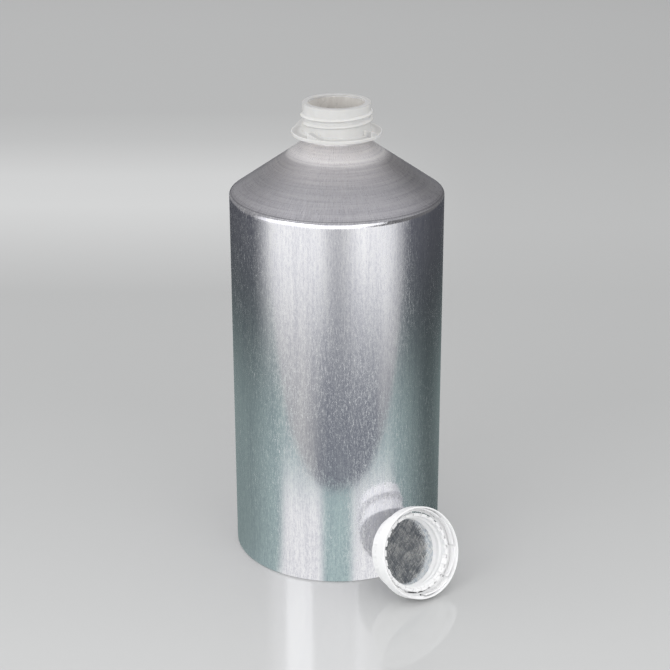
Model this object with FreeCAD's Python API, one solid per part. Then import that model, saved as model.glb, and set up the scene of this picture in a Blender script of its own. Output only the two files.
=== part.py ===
import FreeCAD, Part
import math
import os

# Aluminium bottle with a plastic neck ring, and its screw cap lying beside it. Millimetres, Z up.
# The origin is the centre of the circle on which the bottle stands, and Z is the bottle's axis.
# The bottle's front faces -Y, and the cap lies at the front right.
os.makedirs("parts", exist_ok=True)

# Bottle body: one seamless aluminium extrusion
body_radius = 80.0
shoulder_angle = 34.7          # slope of the shoulder above the horizontal, degrees
wall = 1.2
neck_wall = 1.2
mouth_radius = 20.8            # clear bore of the neck
rim_height = 354.4             # top of the finished mouth
neck_length = 28.04            # from the rim down to where the shoulder's slope meets the neck
base_thickness = 2.0
base_edge_radius = 1.6
foot_width = 7.0               # flat ring that the bottle stands on
base_recess = 3.5              # how far the base is drawn up inside the foot ring
base_slope_width = 6.0
base_crown = 2.0               # extra rise of the base at its middle
crease_radius = 2.2
neck_root_radius = 2.5
inside_corner_radius = 4.0
foot_edge_radius = 1.5         # at the foot ring's inner edge
base_fold_radius = 3.0         # where the base's slope meets its panel
bead_height = 0.8              # rolled bead that holds the neck ring
bead_width = 3.0
bead_below_rim = 9.0

# Shared by several pieces
edge_break = 0.3               # small rounding on cut and moulded edges
overlap = 0.5                  # how far a feature runs into its piece before the two are fused

# Neck ring: one plastic moulding pressed over the neck
ring_fit = 0.05                # between the ring and the aluminium neck
ring_wall = 3.05
lip_thickness = 1.4            # the ring's lip over the top of the neck
ring_edge_radius = 0.5
flange_margin = 0.4            # from the wedges' outer faces to the flange's edge
flange_thickness = 2.5
flange_below_rim = 21.5        # from the rim to the flange's upper face
flange_edge_radius = 0.5
flange_root_radius = 0.4

# Ratchet wedges on the flange
wedge_count = 4
wedge_height = 4.0
wedge_sweep = 20.0             # degrees
wedge_clearance = 0.3          # between the wedges and the inside of the tamper band
wedge_first = -40.0            # steep face of the first wedge, degrees to the right of the front
wedge_sections = 5             # sections of the loft along a wedge
wedge_tail = 0.05              # how far the wedge's low end dips under the flange's face

# Screw thread, right-handed
pitch = 4.9
thread_height = 1.5
thread_base_width = 2.8
thread_crest_width = 1.2
thread_flank_height = 1.0      # straight part of the flanks, below the rounded crest
thread_flank_sink = 0.4        # how far a thread's root runs into its wall
neck_thread_turns = 1.7
neck_thread_start = -80.0      # degrees to the right of the front
neck_thread_below_rim = 14.5   # thread's middle at its start
thread_runout = 14.0           # degrees over which a thread's crest rises at each end
thread_clearance = 0.5         # between the crests of one thread and the root of the other

# Screw cap: one plastic moulding with its tamper band
cap_flange_gap = 2.3           # left between the band and the flange when the cap is screwed home
cap_plate = 1.9
cap_wall = 2.2                 # skirt outside the thread's root
cap_edge_radius = 0.8
pocket_step = 2.3              # from the thread's root in to the disc's pocket
pocket_lip = 0.4               # from the disc's face down to the pocket's straight wall
pocket_slope = 1.6             # height over which the skirt narrows to the pocket
pocket_root_radius = 0.5
cap_thread_turns = 1.4
cap_thread_above_disc = 3.8
cap_thread_start = 200.0

# Sealing disc in the cap
disc_clearance = 0.1           # between the disc and its pocket
disc_thickness = 1.9
disc_edge_radius = 0.25

# Grip ribs on the cap
rib_count = 20
rib_height = 0.5
rib_width = 2.6
rib_phase = 8.0                # degrees
rib_start = 2.0                # from the closed end to the ribs' ends

# Castellated end of the cap's threaded skirt
tooth_count = 24
tooth_height = 1.8
notch_width = 2.8
tooth_phase = 0.0              # degrees
skirt_end_depth = 6.5          # from the band's rim to the teeth's ends

# Tamper band, joined to the skirt by thin bridges
band_wall = 1.1
band_step = 2.8                # width of the web inside the band's wall
band_length = 10.0
band_web = 1.1                 # thickness of the web, at the band's inner end
tear_gap = 0.7                 # between the ribs and the web
bridge_width = 1.0
rim_edge_radius = 0.4
web_edge_radius = 0.2

# Ratchet tongues inside the tamper band
tongue_count = 8
tongue_sweep = 42.0            # degrees
tongue_thickness = 0.9
tongue_reach = 2.0             # how far a free tip stands off the band's wall
tongue_length = 4.8            # along the cap's axis
tongue_rim_gap = 2.6
tongue_tip = -5.0              # angle of the first tip, degrees
web_hole_width = 1.8           # opening in the web under each tip
web_hole_reach = 1.7
web_hole_inset = 0.2           # from the band's wall

# How the cap lies: on the band's edge and the closed end's edge, opening turned to the front right
cap_turn = 35.9                # degrees to the right of the front
cap_direction = 32.44          # of the rim's middle from the bottle's axis, degrees to the right of the front
cap_stand_off = 36.71          # from the bottle's wall to the rim's middle, in plan

# Worked-out levels and radii
slope = math.radians(shoulder_angle)
neck_top = rim_height - lip_thickness
neck_outer_radius = mouth_radius + neck_wall
crease_height = rim_height - neck_length - (body_radius - neck_outer_radius) * math.tan(slope)
bead_level = rim_height - bead_below_rim
ring_radius = neck_outer_radius + ring_fit + ring_wall
flange_top = rim_height - flange_below_rim
flange_bottom = flange_top - flange_thickness
thread_root_radius = ring_radius + thread_height + thread_clearance
cap_outer_radius = thread_root_radius + cap_wall
web_inner_radius = cap_outer_radius + rib_height + tear_gap
band_inner_radius = web_inner_radius + band_step
band_radius = band_inner_radius + band_wall
pocket_radius = thread_root_radius - pocket_step
disc_radius = pocket_radius - disc_clearance
disc_face = cap_plate + disc_thickness
cap_height = disc_face + flange_below_rim - cap_flange_gap
band_start = cap_height - band_length
wedge_radius = band_inner_radius - wedge_clearance
flange_radius = wedge_radius + flange_margin
tooth_top = cap_height - skirt_end_depth


def vector(x, z):
    return FreeCAD.Vector(x, 0.0, z)


def rounded_edges(corners):
    """Edges of a closed outline in the XZ plane. Each corner is (x, z, rounding radius)."""
    count = len(corners)
    starts, ends, arcs = [], [], []
    for i in range(count):
        x, z, radius = corners[i]
        here = vector(x, z)
        back = vector(*corners[i - 1][:2]) - here
        ahead = vector(*corners[(i + 1) % count][:2]) - here
        back.normalize()
        ahead.normalize()
        if radius <= 0.0:
            starts.append(here)
            ends.append(here)
            arcs.append(None)
            continue
        half = back.getAngle(ahead) / 2.0
        reach = radius / math.tan(half)
        middle = back + ahead
        middle.normalize()
        centre = here + middle * (radius / math.sin(half))
        first = here + back * reach
        last = here + ahead * reach
        starts.append(first)
        ends.append(last)
        arcs.append(Part.Arc(first, centre - middle * radius, last).toShape())
    edges = []
    for i in range(count):
        if arcs[i]:
            edges.append(arcs[i])
        leave = ends[i]
        arrive = starts[(i + 1) % count]
        if leave.distanceToPoint(arrive) > 1e-6:
            edges.append(Part.makeLine(leave, arrive))
    return edges


def revolved(corners):
    """A solid of revolution about Z from a closed outline in the XZ plane."""
    face = Part.Face(Part.Wire(rounded_edges(corners)))
    return face.revolve(FreeCAD.Vector(0, 0, 0), FreeCAD.Vector(0, 0, 1), 360)


def tube(outer, inner, low, high):
    """A plain ring between two radii and two heights."""
    return revolved([(inner, low, 0), (outer, low, 0), (outer, high, 0), (inner, high, 0)])


def turned(shape, degrees):
    """A copy turned about Z, counter-clockwise from above."""
    copy = shape.copy()
    copy.rotate(FreeCAD.Vector(0, 0, 0), FreeCAD.Vector(0, 0, 1), degrees)
    return copy


def around(shape, count, first=0.0):
    """Copies of a shape, evenly spaced about Z."""
    return [turned(shape, first + 360.0 * i / count) for i in range(count)]


def shoulder_height(radius, depth=0.0):
    """Height of the shoulder's surface at a radius, or of the surface at a depth below it."""
    rise = (body_radius - radius) * math.sin(slope) - depth
    return crease_height + rise / math.cos(slope)


def thread_ridge(wall_radius, outward, start_height, start_angle, turns):
    """A helical ridge on a cylinder wall: outward +1 stands off the wall, -1 stands into the bore.

    Its section, with straight flanks and a rounded crest, is carried along a helix. At each end
    an upright plane cuts the crest down to the wall.
    """
    half_crest = thread_crest_width / 2.0
    half_wall = thread_base_width / 2.0
    taper = (half_wall - half_crest) * thread_flank_sink / thread_flank_height
    root = wall_radius - outward * thread_flank_sink
    flank_end = wall_radius + outward * thread_flank_height
    low_root = vector(root, -half_wall - taper)
    low_flank = vector(flank_end, -half_crest)
    crest = vector(wall_radius + outward * thread_height, 0.0)
    high_flank = vector(flank_end, half_crest)
    high_root = vector(root, half_wall + taper)
    section = Part.Wire([
        Part.makeLine(low_root, low_flank),
        Part.Arc(low_flank, crest, high_flank).toShape(),
        Part.makeLine(high_flank, high_root),
        Part.makeLine(high_root, low_root),
    ])
    helix = Part.makeHelix(pitch, pitch * turns, wall_radius)
    sweep = Part.BRepOffsetAPI.MakePipeShell(Part.Wire(helix.Edges))
    sweep.setFrenetMode(True)
    sweep.add(section, False, False)
    sweep.build()
    sweep.makeSolid()
    ridge = Part.Solid(sweep.shape())
    ridge = ridge.cut(Part.makeCompound(thread_runouts(wall_radius, outward, turns)))
    ridge.translate(FreeCAD.Vector(0, 0, start_height))
    return turned(ridge, start_angle)


def thread_runouts(wall_radius, outward, turns):
    """Cutters, one pitch high, whose upright faces let a ridge rise out of its wall at either end."""
    crest_radius = wall_radius + outward * (thread_height + overlap)
    away = FreeCAD.Vector(outward * thread_height * 3.0, 0.0, 0.0)
    cutters = []
    for ahead, turn in ((1, 0.0), (-1, turns)):
        sweep = ahead * math.radians(thread_runout)
        level = pitch * (turn - 0.5)
        low_end = FreeCAD.Vector(wall_radius, 0.0, level)
        high_end = FreeCAD.Vector(crest_radius * math.cos(sweep), crest_radius * math.sin(sweep), level)
        before = low_end + (low_end - high_end) * 0.3
        corners = [before, high_end, high_end + away, before + away]
        face = Part.Face(Part.makePolygon(corners + corners[:1]))
        cutters.append(turned(face.extrude(FreeCAD.Vector(0, 0, pitch)), 360.0 * turn))
    return cutters


def front_angle(degrees_right):
    """The angle about Z from +X of a direction given in degrees to the right of the front."""
    return degrees_right - 90.0


def make_bottle_body():
    foot_inner = body_radius - base_edge_radius - foot_width
    panel_radius = foot_inner - base_slope_width
    panel = base_recess
    crown = base_recess + base_crown
    inside = body_radius - wall
    inner_crease = shoulder_height(inside, wall)
    inner_neck = shoulder_height(mouth_radius, wall)
    outer_neck = shoulder_height(neck_outer_radius)
    outline = [
        (0.0, crown, 0),
        (panel_radius, panel, base_fold_radius),
        (foot_inner, 0.0, foot_edge_radius),
        (body_radius, 0.0, base_edge_radius),
        (body_radius, crease_height, crease_radius),
        (neck_outer_radius, outer_neck, neck_root_radius),
        (neck_outer_radius, neck_top, edge_break),
        (mouth_radius, neck_top, edge_break),
        (mouth_radius, inner_neck, neck_root_radius + neck_wall),
        (inside, inner_crease, crease_radius),
        (inside, base_thickness, inside_corner_radius),
        (foot_inner - base_thickness / 2.0, base_thickness, foot_edge_radius),
        (panel_radius, panel + base_thickness, base_fold_radius),
        (0.0, crown + base_thickness, 0),
    ]
    body = revolved(outline)
    return body.fuse(neck_bead(0.0))


def neck_bead(clearance):
    """The rolled bead round the neck: a low arc in section. A clearance makes it the ring's groove."""
    half = bead_width / 2.0 + clearance
    top = bead_height + clearance
    low = vector(neck_outer_radius, bead_level - half)
    crown = vector(neck_outer_radius + top, bead_level)
    high = vector(neck_outer_radius, bead_level + half)
    inner_high = vector(neck_outer_radius - neck_wall / 2.0, bead_level + half)
    inner_low = vector(neck_outer_radius - neck_wall / 2.0, bead_level - half)
    arc = Part.Arc(low, crown, high).toShape()
    sides = [
        Part.makeLine(high, inner_high),
        Part.makeLine(inner_high, inner_low),
        Part.makeLine(inner_low, low),
    ]
    face = Part.Face(Part.Wire([arc] + sides))
    return face.revolve(FreeCAD.Vector(0, 0, 0), FreeCAD.Vector(0, 0, 1), 360)


def ratchet_wedge():
    """A wedge on the flange: steep at angle 0, sloping down to nothing counter-clockwise."""
    inner = ring_radius - 2.0 * overlap
    outer = flange_radius + overlap
    low = flange_top - overlap
    sections = []
    for i in range(wedge_sections):
        share = i / (wedge_sections - 1)
        high = flange_top - wedge_tail + (wedge_height + wedge_tail) * (1.0 - share)
        points = [vector(inner, low), vector(outer, low), vector(outer, high), vector(inner, high)]
        section = Part.makePolygon(points + points[:1])
        section.rotate(FreeCAD.Vector(0, 0, 0), FreeCAD.Vector(0, 0, 1), wedge_sweep * share)
        sections.append(section)
    block = Part.makeLoft(sections, True, True)
    return block.common(tube(wedge_radius, ring_radius - overlap, flange_bottom, rim_height))


def make_neck_ring():
    bore = neck_outer_radius + ring_fit
    outline = [
        (bore, flange_bottom, edge_break),
        (flange_radius, flange_bottom, flange_edge_radius),
        (flange_radius, flange_top, flange_edge_radius / 2.0),
        (ring_radius, flange_top, flange_root_radius),
        (ring_radius, rim_height, ring_edge_radius),
        (mouth_radius, rim_height, ring_edge_radius),
        (mouth_radius, neck_top + ring_fit, 0),
        (bore, neck_top + ring_fit, 0),
    ]
    ring = revolved(outline)
    wedges = around(ratchet_wedge(), wedge_count, front_angle(wedge_first))
    start = rim_height - neck_thread_below_rim
    angle = front_angle(neck_thread_start)
    thread = thread_ridge(ring_radius, 1, start, angle, neck_thread_turns)
    ring = ring.fuse(wedges + [thread])
    return ring.cut(neck_bead(ring_fit)).removeSplitter()


def grip_ribs():
    """Axial ribs with sloping flanks on the skirt, from near the closed end to the band."""
    outer = cap_outer_radius + rib_height
    inner = cap_outer_radius - overlap
    points = [
        FreeCAD.Vector(inner, -rib_width / 2.0, rib_start),
        FreeCAD.Vector(outer, -rib_width / 4.0, rib_start + rib_height),
        FreeCAD.Vector(outer, rib_width / 4.0, rib_start + rib_height),
        FreeCAD.Vector(inner, rib_width / 2.0, rib_start),
    ]
    face = Part.Face(Part.makePolygon(points + points[:1]))
    rib = face.extrude(FreeCAD.Vector(0, 0, band_start + band_web - rib_start))
    return around(rib, rib_count, rib_phase)


def bridges():
    """Thin bridges between the ribs and the tamper band's web, which tear at first opening."""
    inner = cap_outer_radius
    outer = web_inner_radius + overlap
    bridge = Part.makeBox(outer - inner, bridge_width, band_web)
    bridge.translate(FreeCAD.Vector(inner, -bridge_width / 2.0, band_start))
    return around(bridge, rib_count, rib_phase)


def notches():
    """Cutters for the gaps between the teeth at the end of the threaded skirt."""
    inner = thread_root_radius - thread_height - overlap
    outer = cap_outer_radius + rib_height
    notch = Part.makeBox(outer - inner, notch_width, tooth_height + overlap)
    notch.translate(FreeCAD.Vector(inner, -notch_width / 2.0, tooth_top - tooth_height))
    return around(notch, tooth_count, tooth_phase + 180.0 / tooth_count)


def tongues():
    """Ratchet tongues: thin strips that leave the band's wall and run clockwise to a free tip."""
    low = cap_height - tongue_rim_gap - tongue_length
    root_outer = band_inner_radius + overlap
    tip_outer = band_inner_radius - tongue_reach + tongue_thickness

    def at(radius, share):
        angle = math.radians(tongue_sweep * (1.0 - share))
        return FreeCAD.Vector(radius * math.cos(angle), radius * math.sin(angle), low)

    middle_outer = (root_outer + tip_outer) / 2.0
    outer = [at(root_outer, 0.0), at(middle_outer, 0.5), at(tip_outer, 1.0)]
    inner = [at(radius - tongue_thickness, share) for radius, share in
             ((band_inner_radius, 0.0), (middle_outer, 0.5), (tip_outer, 1.0))]
    edges = [
        Part.Arc(*outer).toShape(),
        Part.makeLine(outer[2], inner[2]),
        Part.Arc(*reversed(inner)).toShape(),
        Part.makeLine(inner[0], outer[0]),
    ]
    face = Part.Face(Part.Wire(edges))
    tongue = face.extrude(FreeCAD.Vector(0, 0, tongue_length))
    return around(tongue, tongue_count, tongue_tip)


def web_holes():
    """Cutters for the small openings in the band's web, one under each tongue's tip."""
    outer = band_inner_radius - web_hole_inset
    hole = Part.makeBox(web_hole_reach, web_hole_width, band_web + 2.0 * overlap)
    hole.translate(FreeCAD.Vector(outer - web_hole_reach, -web_hole_width / 2.0, band_start - overlap))
    return around(hole, tongue_count, tongue_tip)


def make_screw_cap():
    """The cap with its closed end at z = 0 and its opening upwards."""
    cup = revolved([
        (0.0, 0.0, 0),
        (cap_outer_radius, 0.0, cap_edge_radius),
        (cap_outer_radius, tooth_top, edge_break),
        (thread_root_radius, tooth_top, edge_break),
        (thread_root_radius, disc_face - pocket_lip + pocket_slope, pocket_root_radius),
        (pocket_radius, disc_face - pocket_lip, edge_break),
        (pocket_radius, cap_plate, 0),
        (0.0, cap_plate, 0),
    ])
    band = revolved([
        (web_inner_radius, band_start, web_edge_radius),
        (band_radius, band_start, cap_edge_radius),
        (band_radius, cap_height, rim_edge_radius),
        (band_inner_radius, cap_height, rim_edge_radius),
        (band_inner_radius, band_start + band_web, edge_break),
        (web_inner_radius, band_start + band_web, web_edge_radius),
    ])
    start = disc_face + cap_thread_above_disc
    thread = thread_ridge(thread_root_radius, -1, start, cap_thread_start, cap_thread_turns)
    cup = cup.fuse([thread] + grip_ribs())
    cup = cup.cut(Part.makeCompound(notches()))
    band = band.fuse(tongues())
    band = band.cut(Part.makeCompound(web_holes()))
    return cup.fuse([band] + bridges()).removeSplitter()


def make_sealing_disc():
    """The disc in the bottom of the cap, foil face towards the opening."""
    return revolved([
        (0.0, cap_plate, 0),
        (disc_radius, cap_plate, disc_edge_radius),
        (disc_radius, disc_face, disc_edge_radius),
        (0.0, disc_face, 0),
    ])


def lay_down(shape):
    """Place a cap piece where the cap lies. Its two resting edges have one rounding radius."""
    lean = math.atan((band_radius - cap_outer_radius) / (cap_height - band_length))
    rim_middle = (
        (band_length - cap_edge_radius) * math.sin(lean)
        + (band_radius - cap_edge_radius) * math.cos(lean)
        + cap_edge_radius
    )
    laid = shape.copy()
    laid.translate(FreeCAD.Vector(0, 0, -cap_height))
    tip_forward = FreeCAD.Rotation(FreeCAD.Vector(1, 0, 0), 90.0 - math.degrees(lean))
    turn_right = FreeCAD.Rotation(FreeCAD.Vector(0, 0, 1), cap_turn)
    direction = math.radians(cap_direction)
    distance = body_radius + cap_stand_off
    place = FreeCAD.Vector(distance * math.sin(direction), -distance * math.cos(direction), rim_middle)
    laid.Placement = FreeCAD.Placement(place, turn_right.multiply(tip_forward)).multiply(laid.Placement)
    return laid


nodes = {
    "bottle_body": make_bottle_body(),
    "neck_ring": make_neck_ring(),
    "screw_cap": lay_down(make_screw_cap()),
    "sealing_disc": lay_down(make_sealing_disc()),
}

for name, shape in nodes.items():
    solid = shape.Solids[0]
    solid.exportStep("parts/" + name + ".step")
    print(name, "solids", len(shape.Solids), "valid", solid.isValid(), "volume", round(solid.Volume, 1))
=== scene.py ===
import math

import bmesh
import bpy
import numpy as np
from mathutils import Matrix, Quaternion, Vector


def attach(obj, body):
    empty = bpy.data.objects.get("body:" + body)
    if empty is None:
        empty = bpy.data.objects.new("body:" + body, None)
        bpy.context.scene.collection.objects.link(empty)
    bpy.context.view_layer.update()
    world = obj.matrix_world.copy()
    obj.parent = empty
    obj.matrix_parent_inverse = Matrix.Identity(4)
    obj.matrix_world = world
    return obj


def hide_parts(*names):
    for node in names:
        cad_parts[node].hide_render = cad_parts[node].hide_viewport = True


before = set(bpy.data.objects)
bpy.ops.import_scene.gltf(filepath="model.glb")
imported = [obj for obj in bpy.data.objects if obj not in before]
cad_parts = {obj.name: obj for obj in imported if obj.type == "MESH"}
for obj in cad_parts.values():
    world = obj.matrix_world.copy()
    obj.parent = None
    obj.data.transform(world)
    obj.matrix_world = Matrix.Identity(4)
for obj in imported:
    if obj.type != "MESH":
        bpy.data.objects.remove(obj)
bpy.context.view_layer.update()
print("frame loaded")

# Sizes below are in millimetres, in the frame's axes, and turn into metres where a mesh is made.
mm = 0.001
sharpAngle = 38.0    # edges sharper than this, in degrees, stay crisp

# The shared sizes of the closure, which the neck and the cap both use
closure = {
    "pitch": 4.9,
    "threadHeight": 1.5,
    "threadBase": 2.8,
    "threadCrest": 1.2,
    "flankHeight": 1.0,
    "ringRadius": 25.1,
    "threadGap": 0.5,
    "runOut": 14.0,        # degrees over which a thread rises at its ends
    "runOutOver": 0.5,     # how far above the crest the run-out's cut ends
}

# Grids and meshes


def roundedProfile(corners, arcSteps=6, step=6.0, edgeRow=0.12):
    # corners are (radius, height, rounding). Each rounding becomes an arc between its two tangent points,
    # and each straight run gets even points plus one row close to both ends, which keeps flat faces flat.
    corners = [np.array(c, float) for c in corners]
    runs = []
    for i, corner in enumerate(corners):
        spot, rounding = corner[:2], corner[2]
        if rounding <= 0.0:
            runs.append(spot[None, :])
            continue
        back = corners[i - 1][:2] - spot
        ahead = corners[(i + 1) % len(corners)][:2] - spot
        back /= np.linalg.norm(back)
        ahead /= np.linalg.norm(ahead)
        half = math.acos(np.clip(back @ ahead, -1.0, 1.0)) / 2.0
        middle = (back + ahead) / np.linalg.norm(back + ahead)
        centre = spot + middle * rounding / math.sin(half)
        first = spot + back * rounding / math.tan(half) - centre
        last = spot + ahead * rounding / math.tan(half) - centre
        sweep = math.pi - 2.0 * half
        share = np.linspace(0.0, 1.0, arcSteps + 1)[:, None]
        # a circular arc from the first tangent point to the last
        turned = np.sin((1 - share) * sweep) * first + np.sin(share * sweep) * last
        runs.append(centre + turned / math.sin(sweep))
    points = []
    for i, run in enumerate(runs):
        points.append(run)
        start, end = run[-1], runs[(i + 1) % len(runs)][0]
        length = np.linalg.norm(end - start)
        if length < 1e-6:
            continue
        near = min(edgeRow, length / 4.0)
        between = np.linspace(0, length, int(length / step) + 2)[1:-1]
        marks = np.unique(np.concatenate([[near], between, [length - near]]))
        points.append(start + (end - start) * (marks / length)[:, None])
    return np.concatenate(points)


def gridFaces(rows, columns, closeRows, closeColumns):
    # quads between neighbouring rows and columns of a grid whose points are numbered row by row
    r = np.arange(rows if closeRows else rows - 1)
    c = np.arange(columns if closeColumns else columns - 1)
    r, c = np.meshgrid(r, c, indexing="ij")
    nextRow, nextColumn = (r + 1) % rows, (c + 1) % columns
    here, above = r * columns, nextRow * columns
    return np.stack([here + c, here + nextColumn, above + nextColumn, above + c], -1).reshape(-1, 4)


def meshFromGrids(name, grids, materials, nodes):
    # each grid is (points[rows, columns, 3] in mm, closeRows, closeColumns, material index of each row), and
    # may end with a mask that says which quads stay
    points, faces, zones, start = [], [], [], 0
    for grid, closeRows, closeColumns, rowZone, *kept in grids:
        rows, columns = grid.shape[:2]
        quad = gridFaces(rows, columns, closeRows, closeColumns)
        if kept:
            quad = quad[kept[0].ravel()]
        points.append(grid.reshape(-1, 3) * mm)
        faces.append(quad + start)
        zones.append(np.broadcast_to(rowZone, rows)[quad[:, 0] // columns])
        start += rows * columns
    points, faces, zones = np.concatenate(points), np.concatenate(faces), np.concatenate(zones)
    mesh = bpy.data.meshes.new(name)
    mesh.vertices.add(len(points))
    mesh.vertices.foreach_set("co", points.astype(np.float32).ravel())
    mesh.loops.add(faces.size)
    mesh.loops.foreach_set("vertex_index", faces.astype(np.int32).ravel())
    mesh.polygons.add(len(faces))
    mesh.polygons.foreach_set("loop_start", np.arange(0, faces.size, 4, dtype=np.int32))
    mesh.polygons.foreach_set("material_index", zones.astype(np.int32))
    mesh.update(calc_edges=True)
    closeSeams(mesh)
    mesh.polygons.foreach_set("use_smooth", np.ones(len(mesh.polygons), bool))
    mesh.set_sharp_from_angle(angle=math.radians(sharpAngle))
    for material in materials:
        mesh.materials.append(material)
    piece = bpy.data.objects.new(name, mesh)
    bpy.context.scene.collection.objects.link(piece)
    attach(piece, "root")
    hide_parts(*nodes)
    print("made", name, len(mesh.polygons), "faces")


def closeSeams(mesh):
    # points that fall together, at poles and where a step has no height, become one point
    work = bmesh.new()
    work.from_mesh(mesh)
    bmesh.ops.remove_doubles(work, verts=work.verts, dist=1e-7)
    bmesh.ops.dissolve_degenerate(work, edges=work.edges, dist=1e-8)
    bmesh.ops.recalc_face_normals(work, faces=work.faces)
    work.to_mesh(mesh)
    work.free()
    mesh.update()


def aroundAxis(radius, height, angles):
    # radius and height for each row (and column) turned about Z to the angles, in radians
    radius, height = np.broadcast_arrays(radius, height)
    if radius.ndim == 1:
        radius, height = radius[:, None], height[:, None]
    return np.stack([radius * np.cos(angles), radius * np.sin(angles), height + 0.0 * angles], -1)


def smoothStep(x):
    x = np.clip(x, 0.0, 1.0)
    return x * x * (3.0 - 2.0 * x)


def steppedColumns(count, steps, half):
    # even columns, in degrees, with two close together at each step and one more on either side of them
    even = np.arange(count) * 360.0 / count
    clear = np.min(np.abs((even[:, None] - steps[None, :] + 180) % 360 - 180), axis=1) > 4.0 * half
    extra = np.concatenate([steps - half, steps + half, steps - 3 * half, steps + 3 * half]) % 360.0
    return np.sort(np.concatenate([even[clear], extra]))


def runOutLimit(along, wallRadius, outward):
    # a thread's end is cut by an upright plane: in plan a straight line from the wall, at angle 0, to just
    # over the crest, at the run-out's angle. This is its height over the wall at each angle.
    sweep = math.radians(closure["runOut"])
    over = wallRadius + outward * (closure["threadHeight"] + closure["runOutOver"])
    endX, endY = over * math.cos(sweep), over * math.sin(sweep)
    angle = np.clip(along, 1e-4, sweep)
    radius = wallRadius * endY / (endY * np.cos(angle) - (endX - wallRadius) * np.sin(angle))
    return np.where(along > 0.0, np.abs(radius - wallRadius), 0.0)


def threadRise(angles, heights, wallRadius, outward, startHeight, startAngle, turns):
    # height of the thread over its wall: flanks rise evenly, the crest is a low arch, and both ends run out
    rise = np.zeros(np.broadcast(angles, heights).shape)
    crestHalf, baseHalf = closure["threadCrest"] / 2.0, closure["threadBase"] / 2.0
    flankTop, top = closure["flankHeight"], closure["threadHeight"]
    for turn in range(int(turns) + 1):
        along = (angles - startAngle) % (2.0 * math.pi) + 2.0 * math.pi * turn
        centre = startHeight + closure["pitch"] * along / (2.0 * math.pi)
        off = np.abs(heights - centre)
        flank = flankTop * (baseHalf - off) / (baseHalf - crestHalf)
        crest = top - (top - flankTop) * (off / crestHalf) ** 2
        section = np.where(off < crestHalf, crest, np.clip(flank, 0.0, None))
        ends = np.minimum(runOutLimit(along, wallRadius, outward),
                          runOutLimit(2.0 * math.pi * turns - along, wallRadius, outward))
        rise = np.maximum(rise, np.minimum(section, ends))
    return rise


# Materials


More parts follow.
